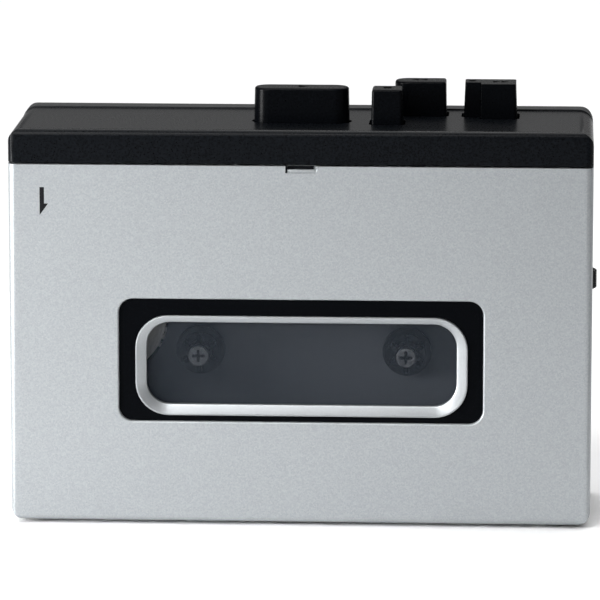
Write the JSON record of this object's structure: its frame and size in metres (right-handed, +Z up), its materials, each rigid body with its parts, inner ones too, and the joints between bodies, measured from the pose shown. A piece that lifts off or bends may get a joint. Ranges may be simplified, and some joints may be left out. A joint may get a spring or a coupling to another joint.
{
  "type": "portable cassette player",
  "caption": "Pocket cassette player: silver swing-down door with a smoked window, black top panel with press keys, and a twin-capstan tape deck with reel spindles behind the door.",
  "frame": {"origin": "middle of the base, on the face the player stands on", "axes": "+X to the right seen from the front, +Y to the back, +Z up; the door faces -Y"},
  "size_m": [0.119, 0.036, 0.0886],
  "materials": {
    "silver_paint": "silver metallic paint on moulded plastic",
    "black_plastic": "fine satin black moulding",
    "gloss_black": "gloss black inset",
    "bezel_silver": "satin silver metallised trim",
    "smoked_lens": "smoked clear plastic",
    "deck_grey": "dark blue-grey paint on steel sheet",
    "steel": "plain steel",
    "brass": "turned brass",
    "rubber": "black rubber",
    "nylon": "natural nylon",
    "grey_plastic": "light grey moulding",
    "board_green": "green lacquer",
    "chip_black": "moulded component bodies",
    "zinc": "cast flywheel, machined"
  },
  "bodies": {
    "case": {"main_frame": "black_plastic", "rear_cover": "black_plastic", "top_panel": "black_plastic", "deck_plate": "deck_grey", "deck_pins": "steel", "drive_bracket": "steel", "hinge_pins": "steel", "circuit_board": "board_green", "board_parts": "chip_black", "motor": "steel", "drive_belt": "rubber", "reel_bushes": "brass", "capstan_bushes": "brass", "bridge_screws": "steel", "key_guide": "steel", "play_spring": "steel", "stop_spring": "steel", "rewind_spring": "steel", "record_spring": "steel", "forward_spring": "steel", "volume_pot": "chip_black", "headphone_jack": "black_plastic", "power_jack": "black_plastic", "battery_contacts": "steel", "battery_spring": "steel", "case_screws": "steel", "deck_screws": "steel"},
    "door": {"door_shell": "silver_paint", "window_surround": "gloss_black", "window_bezel": "bezel_silver", "window_lens": "smoked_lens", "cassette_holder": "black_plastic", "cassette_springs": "steel"},
    "play_button": {"play_key": "black_plastic"},
    "stop_button": {"stop_key": "black_plastic"},
    "rewind_button": {"rewind_key": "black_plastic"},
    "record_button": {"record_key": "black_plastic"},
    "forward_button": {"forward_key": "black_plastic"},
    "dial": {"volume_dial": "black_plastic"},
    "battery_lid": {"battery_door": "black_plastic"},
    "reel_left": {"spindle_left": "black_plastic", "spindle_screw_left": "steel", "reel_gear_left": "nylon"},
    "reel_right": {"spindle_right": "black_plastic", "spindle_screw_right": "steel", "reel_gear_right": "nylon"},
    "relay": {"relay_wheel": "grey_plastic"},
    "capstan_unit_left": {"flywheel_left": "zinc", "capstan_left": "steel"},
    "capstan_unit_right": {"flywheel_right": "zinc", "capstan_right": "steel"},
    "pulley": {"motor_pulley": "brass"},
    "head_carriage": {"head_bridge": "steel", "tape_head": "steel"},
    "arm_left": {"pinch_arm_left": "steel"},
    "arm_right": {"pinch_arm_right": "steel"},
    "roller_left": {"pinch_roller_left": "rubber"},
    "roller_right": {"pinch_roller_right": "rubber"}
  },
  "joints": [
    {"name": "door_hinge", "type": "hinge", "parent": "case", "child": "door", "pos_m": [0, -0.0146, 0.0042], "axis": [1, 0, 0], "range_deg": [0, 45]},
    {"name": "play_press", "type": "slide", "parent": "case", "child": "play_button", "axis": [0, 0, -1], "range_m": [0, 0.0026], "stiffness_N_per_m": 150, "springref_m": -0.002, "deforming": ["play_spring"]},
    {"name": "stop_press", "type": "slide", "parent": "case", "child": "stop_button", "axis": [0, 0, -1], "range_m": [0, 0.0026], "stiffness_N_per_m": 150, "springref_m": -0.002, "deforming": ["stop_spring"]},
    {"name": "rewind_press", "type": "slide", "parent": "case", "child": "rewind_button", "axis": [0, 0, -1], "range_m": [0, 0.0026], "stiffness_N_per_m": 150, "springref_m": -0.002, "deforming": ["rewind_spring"]},
    {"name": "record_press", "type": "slide", "parent": "case", "child": "record_button", "axis": [0, 0, -1], "range_m": [0, 0.0026], "stiffness_N_per_m": 150, "springref_m": -0.002, "deforming": ["record_spring"]},
    {"name": "forward_press", "type": "slide", "parent": "case", "child": "forward_button", "axis": [0, 0, -1], "range_m": [0, 0.0026], "stiffness_N_per_m": 150, "springref_m": -0.002, "deforming": ["forward_spring"]},
    {"name": "dial_turn", "type": "hinge", "parent": "case", "child": "dial", "pos_m": [0.0535, 0.006, 0.0477], "axis": [0, 0, 1], "range_deg": [-135, 135]},
    {"name": "battery_lid_off", "type": "slide", "parent": "case", "child": "battery_lid", "axis": [0, 1, 0], "range_m": [0, 0.02]},
    {"name": "capstan_left_spin", "type": "hinge", "parent": "case", "child": "capstan_unit_left", "pos_m": [-0.0275, 0, 0.0626], "axis": [0, 1, 0], "continuous": true},
    {"name": "capstan_right_spin", "type": "hinge", "parent": "case", "child": "capstan_unit_right", "pos_m": [0.0275, 0, 0.0626], "axis": [0, 1, 0], "continuous": true},
    {"name": "motor_spin", "type": "hinge", "parent": "case", "child": "pulley", "pos_m": [0.04196, 0, 0.0579], "axis": [0, 1, 0], "continuous": true},
    {"name": "relay_spin", "type": "hinge", "parent": "case", "child": "relay", "pos_m": [-0.041, 0, 0.04], "axis": [0, 1, 0], "continuous": true},
    {"name": "reel_left_spin", "type": "hinge", "parent": "case", "child": "reel_left", "pos_m": [-0.02125, 0, 0.0335], "axis": [0, 1, 0], "continuous": true},
    {"name": "reel_right_spin", "type": "hinge", "parent": "case", "child": "reel_right", "pos_m": [0.02125, 0, 0.0335], "axis": [0, 1, 0], "continuous": true},
    {"name": "head_slide", "type": "slide", "parent": "case", "child": "head_carriage", "axis": [0, 0, -1], "range_m": [0, 0.0026]},
    {"name": "pinch_left_swing", "type": "hinge", "parent": "case", "child": "arm_left", "pos_m": [-0.039, -0.002, 0.0685], "axis": [0, 1, 0], "range_deg": [0, 14]},
    {"name": "pinch_right_swing", "type": "hinge", "parent": "case", "child": "arm_right", "pos_m": [0.039, -0.002, 0.0685], "axis": [0, -1, 0], "range_deg": [0, 14], "stiffness_Nm_per_rad": 0.01, "springref_deg": -6.88},
    {"name": "roller_left_spin", "type": "hinge", "parent": "arm_left", "child": "roller_left", "pos_m": [-0.02773, -0.0075, 0.07079], "axis": [0, 1, 0], "continuous": true},
    {"name": "roller_right_spin", "type": "hinge", "parent": "arm_right", "child": "roller_right", "pos_m": [0.02773, -0.0075, 0.07079], "axis": [0, 1, 0], "continuous": true}
  ],
  "couplings": [
    {"joint": "capstan_right_spin", "follows": "capstan_left_spin", "ratio": -1},
    {"joint": "motor_spin", "follows": "capstan_left_spin", "ratio": 3.0861},
    {"joint": "relay_spin", "follows": "capstan_left_spin", "ratio": 1.6884},
    {"joint": "reel_left_spin", "follows": "capstan_left_spin", "ratio": -2.3075},
    {"joint": "head_slide", "follows": "play_press", "ratio": 1},
    {"joint": "pinch_left_swing", "follows": "play_press", "rad_per_m": 93.9}
  ]
}
